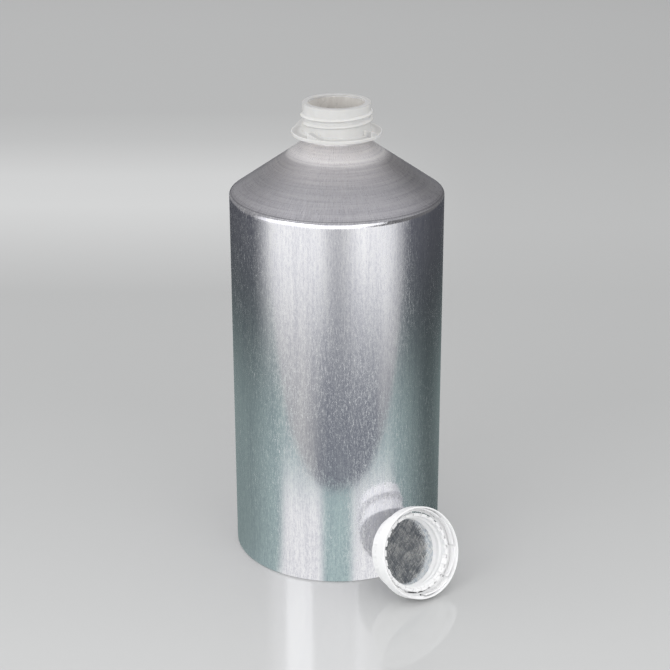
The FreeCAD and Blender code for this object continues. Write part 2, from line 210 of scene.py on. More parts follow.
class Nodes:
    # short calls for the nodes of a material with one Principled shader, or of the world
    def __init__(self, owner):
        self.owner = owner
        self.owner.use_nodes = True
        self.tree = self.owner.node_tree
        self.shader = self.tree.nodes.get("Principled BSDF")

    def add(self, kind, **settings):
        node = self.tree.nodes.new(kind)
        for key, value in settings.items():
            setattr(node, key, value)
        return node

    def fill(self, socket, value):
        # another node's output is linked to the socket, and a number or colour is set on it
        if isinstance(value, bpy.types.NodeSocket):
            self.tree.links.new(value, socket)
        elif value is not None:
            socket.default_value = (*value, 1.0) if socket.type == "RGBA" else value

    def give(self, node, *values, **named):
        # values go to the node's first sockets, and named ones to the sockets with those names
        for socket, value in zip(node.inputs, values):
            self.fill(socket, value)
        for key, value in named.items():
            self.fill(node.inputs[key.replace("_", " ")], value)
        return node

    def set(self, **values):
        self.give(self.shader, **values)

    def finish(self, colour, roughness=None, normal=None):
        self.set(Base_Color=colour, Roughness=roughness, Normal=normal)
        return self.owner

    def coords(self, scale=(1, 1, 1), turn=(0, 0, 0), shift=(0, 0, 0)):
        point = self.add("ShaderNodeTexCoord").outputs["Object"]
        mapping = self.add("ShaderNodeMapping")
        return self.give(mapping, Vector=point, Location=shift, Rotation=turn, Scale=scale).outputs["Vector"]

    def fromAxis(self):
        # the three parts of a point, its part square to the axis, and its distance from the axis
        point = self.add("ShaderNodeTexCoord").outputs["Object"]
        flat = self.vector("MULTIPLY", point, (1, 1, 0))
        return self.split(point), flat, self.vector("LENGTH", flat)

    def split(self, vector):
        return self.give(self.add("ShaderNodeSeparateXYZ"), vector).outputs

    def joined(self, *parts):
        return self.give(self.add("ShaderNodeCombineXYZ"), *parts).outputs["Vector"]

    def vector(self, operation, first, second=None):
        node = self.give(self.add("ShaderNodeVectorMath", operation=operation), first, second)
        return node.outputs["Value" if operation == "LENGTH" else "Vector"]

    def maths(self, operation, first, second=None):
        return self.give(self.add("ShaderNodeMath", operation=operation), first, second).outputs["Value"]

    def total(self, first, *others):
        for value in others:
            first = self.maths("ADD", first, value)
        return first

    def noise(self, vector, scale, detail=3.0, roughness=0.55):
        node = self.add("ShaderNodeTexNoise")
        return self.give(node, Vector=vector, Scale=scale, Detail=detail, Roughness=roughness).outputs["Fac"]

    def span(self, value, low, high, outLow, outHigh, kind="LINEAR"):
        node = self.add("ShaderNodeMapRange", interpolation_type=kind)
        self.give(node, Value=value, From_Min=low, From_Max=high, To_Min=outLow, To_Max=outHigh)
        return node.outputs["Result"]

    def smooth(self, value, low, high, outLow=0.0, outHigh=1.0):
        return self.span(value, low, high, outLow, outHigh, "SMOOTHSTEP")

    def sway(self, noise, half, amount, middle=0.0):
        # where the noise is half below or above 0.5, the result is amount below or above the middle
        return self.span(noise, 0.5 - half, 0.5 + half, middle - amount, middle + amount)

    def mixed(self, share, first, second, kind="FLOAT", mode="MIX"):
        # the node's sockets for numbers are 2 and 3, and those for colours are 6 and 7
        node = self.add("ShaderNodeMix", data_type=kind, blend_type=mode)
        base = 2 if kind == "FLOAT" else 6
        for index, value in ((0, share), (base, first), (base + 1, second)):
            self.fill(node.inputs[index], value)
        return node.outputs[0 if kind == "FLOAT" else 2]

    def blend(self, share, first, second, mode="MIX"):
        return self.mixed(share, first, second, "RGBA", mode)

    def ramp(self, value, stops):
        node = self.add("ShaderNodeValToRGB")
        ramp = node.color_ramp
        while len(ramp.elements) < len(stops):
            ramp.elements.new(0.5)
        for element, (place, colour) in zip(ramp.elements, stops):
            element.position = place
            element.color = (*colour, 1.0)
        return self.give(node, value).outputs["Color"]

    def bump(self, height, strength, distance, after=None):
        node = self.add("ShaderNodeBump")
        self.give(node, Height=height, Strength=strength, Distance=distance, Normal=after)
        return node.outputs["Normal"]

    def mirrored(self):
        # 1 for what a polished surface shows, but 0 for the light that it passes on to dull surfaces
        path = self.add("ShaderNodeLightPath").outputs
        direct = self.maths("LESS_THAN", path["Diffuse Depth"], 0.5)
        return self.maths("MULTIPLY", path["Is Glossy Ray"], direct)


def drawnAluminium():
    # the wall: drawn lengthwise, so fine streaks run up it and spread light sideways
    finish = {
        "anisotropy": 0.25,
        "streaks": 1000.0,        # scales of the marks, per metre
        "grain": 1300.0,
        "cloud": 22.0,
        "stretch": 0.20,
        "polish": 0.085,          # roughness of the ground, and what specks and scratches add to it
        "speck": 0.23,
        "scratch": 0.23,
        "rolledEdge": 5.0,        # height over which the wall turns in below the crease
        "rolledDepth": 0.0014,
        "dark": (0.715, 0.72, 0.77),
        "middle": (0.86, 0.86, 0.895),
        "light": (0.97, 0.97, 0.98),
    }
    m = Nodes(bpy.data.materials.new("drawn_aluminium"))
    tangent = m.add("ShaderNodeTangent", direction_type="RADIAL", axis="Z")
    m.set(Metallic=1.0, Anisotropic=finish["anisotropy"], Tangent=tangent.outputs["Tangent"])
    streaks, stretch = finish["streaks"], finish["stretch"]
    fine = m.noise(m.coords((1, 1, stretch)), streaks, 3.0, 0.6)
    long = m.noise(m.coords((1, 1, 0.02)), streaks * 0.6, 3.0, 0.6)
    broad = m.noise(m.coords((1, 1, stretch * 0.4)), streaks / 7.0, 3.0, 0.6)
    grain = m.noise(m.coords((1, 1, 0.5)), finish["grain"], 2.0, 0.6)
    cloud = m.noise(m.coords((1, 1, 0.45)), finish["cloud"], 3.0, 0.55)
    tone = m.total(m.sway(fine, 0.16, 0.11), m.sway(grain, 0.16, 0.07), m.sway(long, 0.14, 0.04),
                   m.sway(broad, 0.16, 0.05, 0.5))
    colour = m.ramp(tone, [(0.36, finish["dark"]), (0.5, finish["middle"]), (0.64, finish["light"])])
    # a polished ground, dulled by specks and lengthwise scratches that come in clouds
    specks = m.span(grain, 0.47, 0.66, 0.0, finish["speck"])
    scratches = m.span(fine, 0.50, 0.68, 0.0, finish["scratch"])
    worn = m.maths("MULTIPLY", m.total(specks, scratches), m.span(cloud, 0.36, 0.62, 0.35, 1.0))
    # the wall starts to turn in a little below the crease
    crease = bottle["creaseHeight"] * mm
    rolled = m.span(m.fromAxis()[0]["Z"], crease - finish["rolledEdge"] * mm, crease, 0.0, 1.0)
    rolled = m.maths("SUBTRACT", 1.0, m.maths("MULTIPLY", rolled, rolled))
    normal = m.bump(rolled, 1.0, finish["rolledDepth"])
    normal = m.bump(fine, 0.10, 0.0002, normal)
    normal = m.bump(grain, 0.10, 0.0002, normal)
    return m.finish(colour, m.maths("ADD", worn, finish["polish"]), normal)


def turnedAluminium():
    # the shoulder and neck: fine turned rings, crossed by faint marks that run down the slope
    finish = {
        "anisotropy": 0.5,
        "acrossMarks": 0.25,      # turn of the gloss, as a share of a whole turn
        "rings": 850.0,           # scales of the marks, per metre
        "wideRings": 240.0,
        "grain": 1500.0,
        "rays": 110.0,
        "rayLength": 1.6,         # how fast a ray changes on its way down
        "drift": 0.02,            # and a ring on its way round
        "raysTell": (0.034, 0.078, 0.02, 0.13),      # between these radii, in metres, by these amounts
        "matt": (0.033, 0.0415, 0.60, 1.0),
    }
    m = Nodes(bpy.data.materials.new("turned_aluminium"))
    tangent = m.add("ShaderNodeTangent", direction_type="RADIAL", axis="Z")
    m.set(Anisotropic=finish["anisotropy"], Anisotropic_Rotation=finish["acrossMarks"],
          Tangent=tangent.outputs["Tangent"])
    parts, flat, radius = m.fromAxis()
    onRing = m.joined(*(m.maths("MULTIPLY", parts[axis], finish["drift"]) for axis in "XY"), radius)
    rings = m.noise(onRing, finish["rings"], 4.0, 0.75)
    wideRings = m.noise(onRing, finish["wideRings"], 3.0, 0.6)
    along = m.joined(0.0, 0.0, m.maths("MULTIPLY", radius, finish["rayLength"]))
    rays = m.noise(m.vector("ADD", m.vector("NORMALIZE", flat), along), finish["rays"], 3.0, 0.75)
    grain = m.noise(m.coords(), finish["grain"], 2.0, 0.6)
    # the rings tell most at the neck, the marks across them at the edge
    acrossRings = m.maths("MULTIPLY", m.sway(rays, 0.17, 1.0), m.span(radius, *finish["raysTell"]))
    tone = m.total(m.sway(rings, 0.14, 0.11, 0.5), m.sway(wideRings, 0.15, 0.04), acrossRings,
                   m.sway(grain, 0.15, 0.06))
    marks = m.ramp(tone, [(0.38, (0.79, 0.785, 0.81)), (0.5, (0.91, 0.90, 0.925)), (0.62, (1.0, 0.995, 1.0))])
    # tone by radius: lighter near the neck, a painted reflection of the white flange above it; darker
    # half-way down; lighter again near the edge, then a darker ring and a dark band at the edge
    toneAndPaintedReflection = m.ramp(m.span(radius, 0.030, 0.080, 0.0, 1.0), [
        (0.10, (1.0, 0.985, 0.97)),
        (0.36, (0.88, 0.87, 0.87)),
        (0.55, (0.81, 0.81, 0.82)),
        (0.93, (0.92, 0.92, 0.94)),
        (0.950, (0.78, 0.78, 0.80)),
        (0.962, (0.93, 0.93, 0.95)),
        (0.975, (0.55, 0.55, 0.57)),
    ])
    # close to the neck the cut is so fine that it looks matt
    m.set(Metallic=m.smooth(radius, *finish["matt"]))
    normal = m.bump(rings, 0.16, 0.0002)
    normal = m.bump(rays, 0.05, 0.0003, normal)
    # the turned marks are multiplied by the tone by radius, whose lighter part near the neck is a painted
    # reflection
    return m.finish(m.blend(1.0, marks, toneAndPaintedReflection, "MULTIPLY"), m.sway(rays, 0.15, 0.07, 0.33), normal)


def innerLacquer():
    # inside the bottle and its neck: a thin warm lacquer over the metal
    m = Nodes(bpy.data.materials.new("inner_lacquer"))
    m.set(Metallic=0.1, IOR=1.5)
    cloud = m.noise(m.coords((1, 1, 0.6)), 70.0, 3.0)
    runs = m.noise(m.coords((1, 1, 0.08)), 500.0, 3.0)
    tone = m.total(m.maths("MULTIPLY", cloud, 0.6), m.maths("MULTIPLY", runs, 0.4))
    colour = m.ramp(tone, [(0.38, (0.66, 0.635, 0.605)), (0.62, (0.73, 0.71, 0.68))])
    return m.finish(colour, m.sway(cloud, 0.15, 0.08, 0.32), m.bump(runs, 0.08, 0.0002))


def naturalPlastic():
    # the neck ring: milky, slightly see-through plastic as it comes from the mould
    finish = {
        "light": (0.725, 0.723, 0.712),
        "dark": (0.68, 0.678, 0.668),
        "through": (0.74, 0.74, 0.75),           # painted shade: the flange and the rim's top are multiplied by this
        "depth": (0.0015, 0.006),                # how far light goes in, at the wall and in the flange
        "flangeRoot": (0.0270, 0.0295, 0.0, 1.0),    # radii and heights in metres
        "flangeEdge": (0.0326, 0.0332, 1.0, 0.0),
        "rim": (0.3535, 0.3542, 0.0, 1.0),
        "wedgeClear": 0.3,
    }
    m = Nodes(bpy.data.materials.new("natural_plastic"))
    m.set(Subsurface_Weight=0.6, Subsurface_Radius=(1.0, 0.95, 0.85), IOR=1.5)
    cloud = m.noise(m.coords(), 60.0, 3.0)
    milky = m.ramp(cloud, [(0.35, finish["dark"]), (0.65, finish["light"])])
    # painted shade: the flange and the rim's top, where no metal stands behind the plastic, are painted
    # darker and greyer
    parts, _, radius = m.fromAxis()
    flange = m.maths("MULTIPLY", m.span(radius, *finish["flangeRoot"]), m.span(radius, *finish["flangeEdge"]))
    rim = m.span(parts["Z"], *finish["rim"])
    colour = m.blend(m.maths("MAXIMUM", flange, rim), milky, finish["through"], "MULTIPLY")
    flangeTop = (bottle["rimHeight"] - neckRing["flangeBelowRim"] + finish["wedgeClear"]) * mm
    low = m.maths("LESS_THAN", parts["Z"], flangeTop)
    m.set(Subsurface_Scale=m.span(m.maths("MULTIPLY", flange, low), 0.0, 1.0, *finish["depth"]))
    roughness = m.sway(m.noise(m.coords(), 260.0, 3.0), 0.2, 0.06, 0.36)
    return m.finish(colour, roughness, m.bump(m.noise(m.coords(), 420.0, 2.0), 0.08, 0.0004))


def whitePlastic():
    # the cap: opaque white moulding with a soft gloss
    m = Nodes(bpy.data.materials.new("white_plastic"))
    m.set(Subsurface_Weight=0.35, Subsurface_Radius=(1.0, 1.0, 1.0), Subsurface_Scale=0.0008, IOR=1.5)
    cloud = m.noise(m.coords(), 80.0, 3.0)
    colour = m.ramp(cloud, [(0.35, (0.93, 0.93, 0.935)), (0.65, (0.955, 0.955, 0.96))])
    roughness = m.sway(m.noise(m.coords(), 300.0, 3.0), 0.2, 0.06, 0.32)
    return m.finish(colour, roughness, m.bump(m.noise(m.coords(), 500.0, 2.0), 0.06, 0.0003))


def foilLiner():
    # the sealing disc: dark foil with fine scratches, worn in arcs by the neck's rim
    m = Nodes(bpy.data.materials.new("foil_liner"))
    m.set(Metallic=1.0)
    # coordinates in the plane of the foil as the cap lies, so that scratches and arcs run along its face
    face = cap["plate"] + cap["discThickness"]
    middle, above = (Vector(spot) * mm for spot in laidDown(np.array([(0, 0, face), (0, 0, face + 1000.0)])))
    facing = (above - middle).to_track_quat("Z", "Y")

    def onFoil(angle, stretch):
        turn = facing @ Quaternion((0, 0, 1), math.radians(angle))
        mapping = m.coords((1, stretch, 1), turn.to_euler(), middle)
        mapping.node.vector_type = "TEXTURE"
        return mapping

    fine = m.noise(onFoil(20.0, 9.0), 900.0, 3.0, 0.7)
    crossed = m.noise(onFoil(-50.0, 7.0), 750.0, 3.0, 0.7)
    cloud = m.noise(onFoil(0.0, 1.0), 110.0, 4.0, 0.65)
    wrinkle = m.noise(onFoil(70.0, 2.0), 300.0, 2.0, 0.5)
    arcs = m.noise(m.joined(m.vector("LENGTH", onFoil(0.0, 1.0))), 900.0, 3.0, 0.7)
    scratch = m.maths("MULTIPLY", m.total(fine, crossed), 0.5)
    tone = m.total(m.sway(scratch, 0.12, 0.13), m.sway(cloud, 0.14, 0.10, 0.5), m.sway(arcs, 0.14, 0.04))
    colour = m.ramp(tone, [(0.34, (0.46, 0.52, 0.58)), (0.5, (0.80, 0.83, 0.85)), (0.66, (1.0, 0.99, 0.965))])
    normal = m.bump(wrinkle, 0.10, 0.0004)
    normal = m.bump(scratch, 0.10, 0.0002, normal)
    return m.finish(colour, m.sway(tone, 0.14, 0.085, 0.235), normal)


# Bottle body

bottle = {
    "bodyRadius": 80.0,
    "creaseHeight": 286.2,
    "shoulderAngle": 34.7,
    "wall": 1.2,
    "mouthRadius": 20.8,
    "rimHeight": 354.4,
    "lip": 1.4,
    "baseThickness": 2.0,
    "baseEdge": 1.6,
    "footWidth": 7.0,
    "footEdge": 1.5,
    "recess": 3.5,
    "recessSlope": 6.0,
    "crown": 2.0,
    "creaseRadius": 2.2,
    "neckRoot": 2.5,
    "insideCorner": 4.0,
    "edgeBreak": 0.3,
    "baseFold": 3.0,
    "beadHeight": 0.8,
    "beadWidth": 3.0,
    "beadBelowRim": 9.0,
    "drawnPast": 0.4,         # how far the wall's finish reaches past the crease
    "turnedRows": 10,         # rows past the rim's highest that are still turned metal
    "segments": 320,
}


def shoulderHeight(radius, depth=0.0):
    # height of the cone at a radius, or of the surface that lies depth below it
    slope = math.radians(bottle["shoulderAngle"])
    inward = bottle["bodyRadius"] - radius
    return bottle["creaseHeight"] + (inward * math.sin(slope) - depth) / math.cos(slope)


def makeBottleBody():
    b = bottle
    wall = b["wall"]
    footInner = b["bodyRadius"] - b["baseEdge"] - b["footWidth"]
    panel = footInner - b["recessSlope"]
    inside = b["bodyRadius"] - wall
    neck = b["mouthRadius"] + wall
    neckTop = b["rimHeight"] - b["lip"]
    thick = b["baseThickness"]
    corners = [
        (0.0, b["recess"] + b["crown"], 0),
        (panel, b["recess"], b["baseFold"]),
        (footInner, 0.0, b["footEdge"]),
        (b["bodyRadius"], 0.0, b["baseEdge"]),
        (b["bodyRadius"], b["creaseHeight"], b["creaseRadius"]),
        (neck, shoulderHeight(neck), b["neckRoot"]),
        (neck, neckTop, b["edgeBreak"]),
        (b["mouthRadius"], neckTop, b["edgeBreak"]),
        (b["mouthRadius"], shoulderHeight(b["mouthRadius"], wall), b["neckRoot"] + wall),
        (inside, shoulderHeight(inside, wall), b["creaseRadius"]),
        (inside, thick, b["insideCorner"]),
        (footInner - thick / 2.0, thick, b["footEdge"]),
        (panel, b["recess"] + thick, b["baseFold"]),
        (0.0, b["recess"] + b["crown"] + thick, 0),
    ]
    # without the two points between the poles
    profile = roundedProfile(corners, arcSteps=8, step=5.0)[:-2]
    radius, height = profile[:, 0].copy(), profile[:, 1].copy()
    # the rolled bead: a low arch on the neck's outside
    beadLevel = b["rimHeight"] - b["beadBelowRim"]
    off = (height - beadLevel) / (b["beadWidth"] / 2.0)
    onNeck = (np.abs(radius - neck) < 1e-6) & (np.abs(off) < 1.0)
    radius[onNeck] += b["beadHeight"] * (1.0 - off[onNeck] ** 2)
    angles = np.linspace(0, 2 * math.pi, b["segments"], endpoint=False)
    body = aroundAxis(radius, height, angles)
    outerTop = int(np.argmax(height))
    rows = np.arange(len(radius))
    # the wall with its rolled crease, the turned shoulder, neck and base, and the lacquered inside
    onWall = (rows <= outerTop) & (height < b["creaseHeight"] + b["drawnPast"]) & (radius > panel - 1.0)
    zone = np.where(onWall, 0, np.where(rows <= outerTop + b["turnedRows"], 1, 2))
    finishes = [drawnAluminium(), turnedAluminium(), innerLacquer()]
    meshFromGrids("bottle_body_shell", [(body, False, True, zone)], finishes,
                  ["bottle_body"])


# Neck ring

neckRing = {
    "fit": 0.05,
    "edge": 0.5,
    "flangeRadius": 33.4,
    "flangeThickness": 2.5,
    "flangeBelowRim": 21.5,
    "flangeEdge": 0.5,
    "boreEdge": 0.3,
    "flangeRoot": 0.4,
    "wedges": 4,
    "wedgeHeight": 4.0,
    "wedgeSweep": 20.0,
    "wedgeRadius": 33.0,
    "wedgeFirst": -130.0,      # steep face of the first wedge, degrees from +X
    "wedgeEdge": 0.12,
    "threadTurns": 1.7,
    "threadStart": -170.0,
    "threadBelowRim": 14.5,
    "columns": 480,
    "threadRows": 0.16,
}


def makeNeckRing():
    n = neckRing
    rim = bottle["rimHeight"]
    bore = bottle["mouthRadius"] + bottle["wall"] + n["fit"]
    seat = rim - bottle["lip"] + n["fit"]
    top = rim - n["flangeBelowRim"]
    under = top - n["flangeThickness"]
    steep = n["wedgeFirst"] + 360.0 * np.arange(n["wedges"]) / n["wedges"]
    half = n["wedgeEdge"] / 2.0
    degrees = steppedColumns(n["columns"], steep, half)
    angles = np.radians(degrees)
    # a wedge falls evenly from its steep face to the flange
    after = np.min((degrees[:, None] - steep[None, :] + half) % 360.0, axis=1) - half
    lift = n["wedgeHeight"] * np.clip(1.0 - after / n["wedgeSweep"], 0.0, 1.0)
    lift = np.where(after < half * 0.5, 0.0, lift)
    # rows below the wedges' tops: bore, underside, flange edge
    lower = roundedProfile([
        (bore, seat, 0),
        (bore, under, n["boreEdge"]),
        (n["flangeRadius"], under, n["flangeEdge"]),
        (n["flangeRadius"], top, n["flangeEdge"] / 2.0),
        (n["wedgeRadius"] + 0.01, top, 0),
    ], arcSteps=5, step=4.0)
    lower = lower[: int(np.argmin(np.abs(lower - (n["wedgeRadius"] + 0.01, top)).sum(1))) + 1]
    radii, heights = [lower[:, :1] + 0.0 * lift], [lower[:, 1:] + 0.0 * lift]
    # rows that climb the wedge's outer face and cross its top to the ring's wall
    climb = np.array([0.0, 0.04, 0.5, 0.94, 1.0])[:, None]
    faceRadius = np.full((5, len(angles)), n["wedgeRadius"])
    faceRadius[-1] -= 0.15
    across = np.linspace(n["wedgeRadius"] - 0.3, closure["ringRadius"] + n["flangeRoot"], 8)[:, None]
    root = np.linspace(0.0, math.pi / 2.0, 6)[1:, None]
    rootHeight = top + lift + n["flangeRoot"] * (1.0 - np.cos(root))
    radii += [faceRadius, across + 0.0 * lift,
              closure["ringRadius"] + n["flangeRoot"] * (1.0 - np.sin(root)) + 0.0 * lift]
    heights += [top + lift * climb, top + lift + 0.0 * across, rootHeight]
    # the ring's wall carries the thread. Its lowest rows even out the wedges' steps, below the thread.
    wallTop = rim - n["edge"]
    clear = top + n["wedgeHeight"] + n["flangeRoot"] + 0.4
    lowest = rootHeight[-1] + (clear - rootHeight[-1]) * np.linspace(0.0, 1.0, 8)[1:, None]
    even = np.linspace(clear, wallTop, int((wallTop - clear) / n["threadRows"]))[1:, None] + 0.0 * lift
    wallHeight = np.concatenate([lowest, even])
    start = rim - n["threadBelowRim"]
    rise = threadRise(angles[None, :], wallHeight, closure["ringRadius"], 1, start,
                      math.radians(n["threadStart"]), n["threadTurns"])
    upper = roundedProfile([
        (closure["ringRadius"], wallTop - 0.2, 0),
        (closure["ringRadius"], rim, n["edge"]),
        (bottle["mouthRadius"], rim, n["edge"]),
        (bottle["mouthRadius"], seat, 0),
        (bore, seat, 0),
    ], arcSteps=7, step=1.5)
    begin = int(np.argmax(upper[:, 1] > wallTop + 1e-4))
    finish = int(np.where((np.abs(upper[:, 0] - bore) < 1e-6) & (np.abs(upper[:, 1] - seat) < 1e-6))[0][0])
    upper = upper[begin:finish]
    radii += [closure["ringRadius"] + rise, upper[:, :1] + 0.0 * lift]
    heights += [wallHeight, upper[:, 1:] + 0.0 * lift]
    ring = aroundAxis(np.concatenate(radii), np.concatenate(heights), angles)
    meshFromGrids("neck_ring_moulding", [(ring, True, True, 0)], [naturalPlastic()],
                  ["neck_ring"])


# Screw cap

cap = {
    "height": 23.0,
    "plate": 1.9,
    "outerRadius": 29.3,
    "edge": 0.8,
    "pocketRadius": 24.8,
    "pocketLip": 0.4,
    "pocketSlope": 1.6,
    "discThickness": 1.9,
    "threadTurns": 1.4,
    "threadAboveDisc": 3.8,
    "threadStart": 200.0,
    "ribs": 20,
    "ribHeight": 0.5,
    "ribWidth": 2.6,
    "ribPhase": 8.0,
    "ribStart": 2.0,
    "teeth": 24,
    "toothHeight": 1.8,
    "notchWidth": 2.8,
    "notchEdge": 0.1,         # degrees between the two columns at a notch's side
    "skirtEndDepth": 6.5,
    "endEdge": 0.3,           # rounding of the skirt's end, inside and outside
    "bandRadius": 34.4,
    "bandWall": 1.1,
    "bandLength": 10.0,
    "bandWeb": 1.1,
    "tearGap": 0.7,
    "bridgeWidth": 1.0,
    "bridgeInset": 0.1,
    "bridgeEdge": 0.25,
    "bridgeSunk": 0.4,        # how far its end stands in the band
    "rimEdge": 0.4,
    "tongues": 8,
    "tongueSweep": 42.0,
    "tongueThickness": 0.9,
    "tongueReach": 2.0,
    "tongueLength": 4.8,
    "tongueRimGap": 2.6,
    "tongueEdge": 0.15,
    "tongueSunk": 0.5,        # how far its root stands in the band's wall
    "tongueTip": -5.0,
    "holeWidth": 1.8,         # opening in the band's web under each tongue's tip
    "holeReach": 1.7,
    "holeInset": 0.2,
    "turn": 35.9,             # the opening's direction, degrees to the right of the front
    "direction": 32.44,       # of the rim's middle from the bottle's axis, degrees to the right of the front
    "standOff": 36.71,        # from the bottle's wall to the rim's middle, in plan
    "columns": 384,
    "wallRows": 56,
    "bandStep": 1.5,          # degrees between the band's columns
}


def laidDown(points):
    # from the cap's own axes (closed face at 0, opening up) to where it lies, on two of its round edges
    c = cap
    lean = math.atan2(c["bandRadius"] - c["outerRadius"], c["height"] - c["bandLength"])
    turn = math.radians(c["turn"])
    rimHeight = ((c["bandLength"] - c["edge"]) * math.sin(lean)
                 + (c["bandRadius"] - c["edge"]) * math.cos(lean) + c["edge"])
    across = np.array([math.cos(turn), math.sin(turn), 0.0])
    opening = np.array([math.sin(turn) * math.cos(lean), -math.cos(turn) * math.cos(lean), math.sin(lean)])
    upward = np.cross(opening, across)
    direction, distance = math.radians(c["direction"]), bottle["bodyRadius"] + c["standOff"]
    middle = np.array([distance * math.sin(direction), -distance * math.cos(direction), rimHeight])
    axes = np.stack([across, upward, opening])
    return middle + (points - np.array([0.0, 0.0, c["height"]])) @ axes


def makeCapCup():
    c = cap
    wallRadius = closure["ringRadius"] + closure["threadHeight"] + closure["threadGap"]
    face = c["plate"] + c["discThickness"]
    toothTop = c["height"] - c["skirtEndDepth"]
    # the skirt's end is lower in the notches, whose sides stand upright
    perTooth = 360.0 / c["teeth"]
    halfNotch = math.degrees(c["notchWidth"] / (wallRadius + c["outerRadius"]))
    middles = perTooth * (np.arange(c["teeth"]) + 0.5)
    sides = np.concatenate([middles - halfNotch, middles + halfNotch])
    degrees = steppedColumns(c["columns"], sides, c["notchEdge"] / 2.0)
    angles = np.radians(degrees)
    inNotch = np.abs(degrees % perTooth - perTooth / 2.0) < halfNotch
    endHeight = toothTop - c["toothHeight"] * inNotch
    # a rib is flat on top with sloping flanks, and slopes at its lower end too
    fromRib = np.abs((degrees - c["ribPhase"] + 180.0 / c["ribs"]) % (360.0 / c["ribs"]) - 180.0 / c["ribs"])
    ribHalf = math.degrees(c["ribWidth"] / 2.0 / c["outerRadius"])
    rib = smoothStep((ribHalf - fromRib) / (ribHalf / 2.0))
    over = 6.0                # any height past the edge's rounding, whose rows go
    edge = roundedProfile([(0.0, 0.0, 0), (c["outerRadius"], 0.0, c["edge"]),
                           (c["outerRadius"], over, 0), (0.0, over, 0)], arcSteps=6, step=6.0)
    edge = edge[: int(np.argmax(edge[:, 1] > c["edge"] - 1e-6)) + 1]
    rows, heights = [edge[:, :1] + 0.0 * angles], [edge[:, 1:] + 0.0 * angles]
    # outside of the skirt, up to the teeth's ends
    endEdge = c["endEdge"]
    share = np.concatenate([[0.02], np.linspace(0.04, 0.14, 6), np.linspace(0.2, 0.97, 12), [0.985]])[:, None]
    outHeight = c["edge"] + (endHeight - endEdge - c["edge"]) * share
    ribFade = smoothStep((outHeight - c["ribStart"]) / c["ribHeight"])
    ribEnd = 1.0 - smoothStep((outHeight - (c["height"] - c["bandLength"] + c["bandWeb"])) / 0.3)
    rows.append(c["outerRadius"] + c["ribHeight"] * rib * ribFade * ribEnd)
    heights.append(outHeight)
    # the end: a quarter round, a flat, a quarter round
    bend = np.linspace(0.0, math.pi / 2.0, 5)[:, None]
    rows.append(c["outerRadius"] - endEdge * (1 - np.cos(bend)) + 0.0 * angles)
    heights.append(endHeight - endEdge + endEdge * np.sin(bend))
    rows.append(wallRadius + endEdge * (1 - np.sin(bend)) + 0.0 * angles)
    heights.append(endHeight - endEdge + endEdge * np.cos(bend))
    # the threaded wall, down to the slope over the disc's pocket
    slopeTop = face - c["pocketLip"] + c["pocketSlope"] + 0.35
    share = np.linspace(0.0, 1.0, c["wallRows"])[1:, None]
    inHeight = (endHeight - endEdge) + (slopeTop - endHeight + endEdge) * share
    rise = threadRise(angles[None, :], inHeight, wallRadius, -1, face + c["threadAboveDisc"],
                      math.radians(c["threadStart"]), c["threadTurns"])
    rows.append(wallRadius - rise)
    heights.append(inHeight)
    pocket = roundedProfile([
        (wallRadius, slopeTop + 3.0, 0),
        (wallRadius, face - c["pocketLip"] + c["pocketSlope"], 0.5),
        (c["pocketRadius"], face - c["pocketLip"], 0.3),
        (c["pocketRadius"], c["plate"], 0),
        (0.0, c["plate"], 0),
    ], arcSteps=4, step=8.0)
    pocket = pocket[int(np.argmax(pocket[:, 1] < slopeTop - 0.02)):]
    pocket = pocket[: int(np.argmin(pocket[:, 0])) + 1]
    rows.append(pocket[:, :1] + 0.0 * angles)
    heights.append(pocket[:, 1:] + 0.0 * angles)
    return aroundAxis(np.concatenate(rows), np.concatenate(heights), angles)


def makeTamperBand():
    # a ring of constant section, whose web has a small opening under each tongue's tip
    c = cap
    webInner = c["outerRadius"] + c["ribHeight"] + c["tearGap"]
    start = c["height"] - c["bandLength"]
    inner = c["bandRadius"] - c["bandWall"]
    holeOuter = inner - c["holeInset"]
    holeInner = holeOuter - c["holeReach"]
    webTop = start + c["bandWeb"]
    profile = roundedProfile([
        (webInner, start, 0.2),
        (holeInner, start, 0),
        (holeOuter, start, 0),
        (c["bandRadius"], start, c["edge"]),
        (c["bandRadius"], c["height"], c["rimEdge"]),
        (inner, c["height"], c["rimEdge"]),
        (inner, webTop, 0.15),
        (holeOuter, webTop, 0),
        (holeInner, webTop, 0),
        (webInner, webTop, 0.2),
    ], arcSteps=6, step=2.0)
    halfHole = math.degrees(c["holeWidth"] / (holeInner + holeOuter))
    tips = c["tongueTip"] + 360.0 * np.arange(c["tongues"]) / c["tongues"]
    sides = np.concatenate([tips - halfHole, tips + halfHole]) % 360.0
    degrees = np.unique(np.concatenate([np.arange(0.0, 360.0, c["bandStep"]), sides]).round(6))
    band = aroundAxis(profile[:, 0], profile[:, 1], np.radians(degrees))
    # quads inside an opening go, and a wall of the same points joins its lower and upper outlines
    rows = np.arange(len(profile))
    onHole = (profile[:, 0] > holeInner - 1e-6) & (profile[:, 0] < holeOuter + 1e-6)
    lower = rows[onHole & (np.abs(profile[:, 1] - start) < 1e-6)]
    upper = rows[onHole & (np.abs(profile[:, 1] - webTop) < 1e-6)]
    kept = np.ones((len(profile), len(degrees)), bool)
    walls = []
    for tip in tips:
        columns = np.where(np.abs((degrees - tip + 180.0) % 360.0 - 180.0) < halfHole + 1e-4)[0]
        outlines = []
        for line in (lower, upper):
            kept[line[:-1, None], columns[None, :-1]] = False
            line = line[np.argsort(profile[line, 0])]
            outlines.append(np.concatenate([
                band[line[0], columns], band[line[1:], columns[-1]],
                band[line[-1], columns[:-1]][::-1], band[line[1:-1], columns[0]][::-1],
            ]))
        walls.append((laidDown(np.stack(outlines)), False, True, 0))
    return [(laidDown(band), True, True, 0, kept)] + walls


